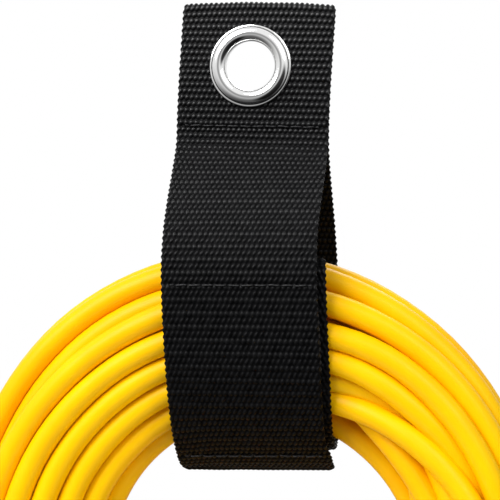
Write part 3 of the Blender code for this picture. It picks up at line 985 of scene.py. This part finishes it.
def spread(move):
    """Share each move out along the cord, so that a stretch of it moves and not one point."""
    wide = np.exp(-0.5 * (np.arange(-14, 15) / 6.0) ** 2)
    wide /= wide.sum()
    return np.stack([np.convolve(move[:, k], wide, mode="same") for k in range(2)], axis=1)


def unbend(line):
    """Ease the line's bends in place, and most of all the sharp ones."""
    bend = 0.5 * (line[:-2] + line[2:]) - line[1:-1]
    size = np.linalg.norm(bend, axis=1, keepdims=True) + 1e-12
    sharp = bend * np.clip(1 - BEND_LIMIT / size, 0, None)
    line[1:-1] += EASE * bend + EASE_SHARP * sharp


def pack_turns(flat, live, sections, guides, ends):
    """Pack the turns, given as (radius from the middle, y) in every slice, and keep the ends in place."""
    strands = live.shape[0]
    pairs = live[:, None] & live[None]
    pairs[np.arange(strands), np.arange(strands)] = False
    first, last = np.flatnonzero(live)[[0, -1]]
    _, half, reach = sections
    for i in range(PACKING_STEPS):
        size = CORD * (0.6 + 0.43 * min(1.0, i / (0.5 * PACKING_STEPS)))
        grid = flat.reshape(strands, PER_TURN, 2)
        push = pushed_apart(grid, size, pairs)
        kept = hold_in(grid, half, reach, CORD / 2).reshape(-1, 2) - flat
        move = push + kept
        if i < 0.85 * PACKING_STEPS:
            move = spread(move)
        flat = flat + move
        free = flat.reshape(strands, PER_TURN, 2)
        for number, (guide, held) in guides.items():
            free[number] += (guide - free[number]) * held[:, None]
        for spots, radii in ends:
            flat[spots, 0] = radii
            flat[spots, 1] = 0.0
        line = flat[first : last + 1]
        for _ in range(2):
            unbend(line)
    for _ in range(CLOSING_PASSES):
        line[1:-1] += 0.5 * (0.5 * (line[:-2] + line[2:]) - line[1:-1])
    return line


def cord_path():
    """The middle line of the coil's turns, with the tops of both leads.

    Every turn crosses the same ring of slices. In each slice the turns push each other apart, and
    along the cord they're kept from bending sharply, as its jacket does. The smoothing comes last and
    undoes part of the pushing. Many turns sink into each other a little, and a few of them deeply.
    """
    draw = np.random.default_rng(PACKING_SEED)
    count = int(TURNS * PER_TURN) + 1
    first = PER_TURN - LEAD_SLICES
    last = PER_TURN + count + LEAD_SLICES
    strands = int(np.ceil(last / PER_TURN))
    angle = pi - 2 * pi * np.arange(PER_TURN) / PER_TURN
    sections = coil_sections(angle)
    middle, half, reach = sections
    live = np.zeros(strands * PER_TURN, dtype=bool)
    live[first:last] = True
    flat = lay_turns(draw, strands, half, reach)
    guides = {
        CROSSING_TURN: crossing_guide(angle, middle, half, reach),
        OUTER_TURN: rim_guide(angle, half, 1),
        INNER_TURN: rim_guide(angle, half, -1),
    }
    below = np.arange(LEAD_SLICES + 1)
    lead_radius = LEAD_OFFSET / np.cos(below * (2 * pi / PER_TURN))
    ends = []
    for spots in (PER_TURN - below, PER_TURN + count - 1 + below):
        ends.append((spots, lead_radius - middle[spots % PER_TURN]))
    line = pack_turns(flat, live.reshape(strands, PER_TURN), sections, guides, ends)
    turn = pi - 2 * pi * (np.arange(first, last) - PER_TURN) / PER_TURN
    radius = np.tile(middle, strands)[first:last] + line[:, 0]
    x = COIL_X + radius * np.cos(turn)
    z = COIL_CENTRE_Z + radius * np.sin(turn)
    return np.stack([x, line[:, 1], z], axis=1)


def lead_points(side, first):
    """The hanging lead, from inside the plug or the socket up to where the coil's path begins."""
    relief_top = FACE_Z + BODY_LENGTH + RELIEF_LENGTH
    inner_edge = LEAD_OFFSET - CORD / 2
    top = COIL_CENTRE_Z - sqrt(COIL_OUTER**2 - inner_edge**2) - GAP
    bow = side * LEAD_BOW
    pieces = 6
    x = COIL_X + side * LEAD_OFFSET
    points = [(x, 0.0, FACE_Z + LEAD_DEPTH)]
    for i in range(pieces):
        share = 1 - i / pieces
        points.append((x - bow * sin(pi * share) ** 2, 0.0, top + (relief_top - top) * share))
    points.append(first)
    return smooth_line(points, 5.0 * MM)


def make_cord():
    coil = cord_path()
    first = lead_points(-1, tuple(coil[0]))
    last = lead_points(1, tuple(coil[-1]))
    path = np.concatenate([first[:-1], coil, last[::-1][1:]])
    along = arc_lengths(path)
    # The three cores twist under the jacket and swell it faintly.
    swell = CORD / 2 * (1 + 0.008 * np.sin(2 * pi * along / CORE_TWIST))
    yellow = jacket_finish("yellow_jacket", (0.98, 0.57, 0.0), (0.96, 0.50, 0.0), 0.34)
    cord = tube("cord", path, swell, TUBE_SIDES, yellow)
    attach(cord, "coil")
    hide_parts("coil", "plug_lead", "connector_lead")
    return cord, path, float(along[-1])


def body_outline(front, recess):
    """A moulded shell, open at the face, with grip rings and a bore for the cord at the back."""
    corners = [
        (front - 0.4 * MM, 0.0),
        (front, 0.8 * MM),
        (front, 12.0 * MM),
        (front - 1.6 * MM, 15.0 * MM),
        (front - 1.6 * MM, 17.0 * MM),
        (front - 0.6 * MM, 18.5 * MM),
        (front - 2.2 * MM, 21.0 * MM),
        (front - 2.2 * MM, 23.0 * MM),
        (front - 1.4 * MM, 24.5 * MM),
        (11.2 * MM, 28.5 * MM),
        (9.6 * MM, BODY_LENGTH - 1.0 * MM),
        (8.8 * MM, BODY_LENGTH),
        (CORD_BORE, BODY_LENGTH),
        (CORD_BORE, 29.5 * MM),
        (recess - 3.2 * MM, 22.0 * MM),
        (recess, 14.0 * MM),
        (recess, 0.0),
    ]
    return rounded(corners, 1.0 * MM)


def relief_outline():
    """A tapered sleeve with five grooves that let it bend."""
    grooves = 5
    start = BODY_LENGTH + GAP
    stop = BODY_LENGTH + RELIEF_LENGTH
    corners = [(CORD_BORE, start)]
    for i in range(grooves):
        for share, depth in ((0.0, 0.0), (0.55, 0.0), (0.62, 1.0), (0.93, 1.0)):
            along = (i + share) / grooves
            radius = 7.6 * MM - 2.2 * MM * along - depth * MM
            corners.append((max(radius, CORD_BORE + 0.7 * MM), start + (stop - start) * along))
    corners += [(5.5 * MM, stop), (CORD_BORE, stop)]
    return rounded(corners, 0.7 * MM)


def finish_insides():
    """Put finishes on the CAD nodes inside the ends, and return the plug's."""
    brass = plain_finish("plated_brass", (0.80, 0.66, 0.36), 0.24, metallic=1.0, grain=900.0, depth=0.01)
    finishes = {
        "bridge": plain_finish("dark_yellow_face", (0.78, 0.42, 0.01), 0.5),
        "insert": plain_finish("yellow_face", (0.86, 0.50, 0.01), 0.45),
        "blade": brass,
        "pin": brass,
        "contact": brass,
        "live_wire": plain_finish("black_insulation", (0.016, 0.016, 0.017), 0.4),
        "neutral_wire": plain_finish("white_insulation", (0.80, 0.79, 0.75), 0.4),
        "ground_wire": plain_finish("green_insulation", (0.03, 0.22, 0.05), 0.4),
    }
    in_plug = []
    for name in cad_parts:
        for ending, finish in finishes.items():
            if name.endswith(ending):
                item = bpy.data.objects[name]
                item.data.materials.clear()
                item.data.materials.append(finish)
                if name.startswith("plug"):
                    in_plug.append(item)
    return in_plug


def make_ends():
    """The plug's and the socket's shells and strain reliefs. Return the pieces that make up the plug."""
    moulded = jacket_finish("moulded_yellow", (0.95, 0.60, 0.004), (0.91, 0.52, 0.003), 0.42)
    sleeve = jacket_finish("relief_yellow", (0.92, 0.55, 0.003), (0.86, 0.46, 0.002), 0.5)
    turned = []
    for prefix, side, front, recess in (
        ("plug", 1, 14.6 * MM, 12.0 * MM),
        ("connector", -1, 16.2 * MM, 13.4 * MM),
    ):
        centre = (COIL_X + side * LEAD_OFFSET, 0.0, FACE_Z)
        shell = lathe(f"{prefix}_shell", body_outline(front, recess), 96, centre, moulded)
        relief = lathe(f"{prefix}_sleeve", relief_outline(), 64, centre, sleeve)
        for piece, node in ((shell, f"{prefix}_body"), (relief, f"{prefix}_strain_relief")):
            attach(piece, "coil")
            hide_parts(node)
        turned.append([shell, relief])
    return turned[0] + finish_insides()


make_stage()
make_camera()
cord, cord_line, cord_length = make_cord()
plug_pieces = make_ends()
make_strap()
make_grommet()
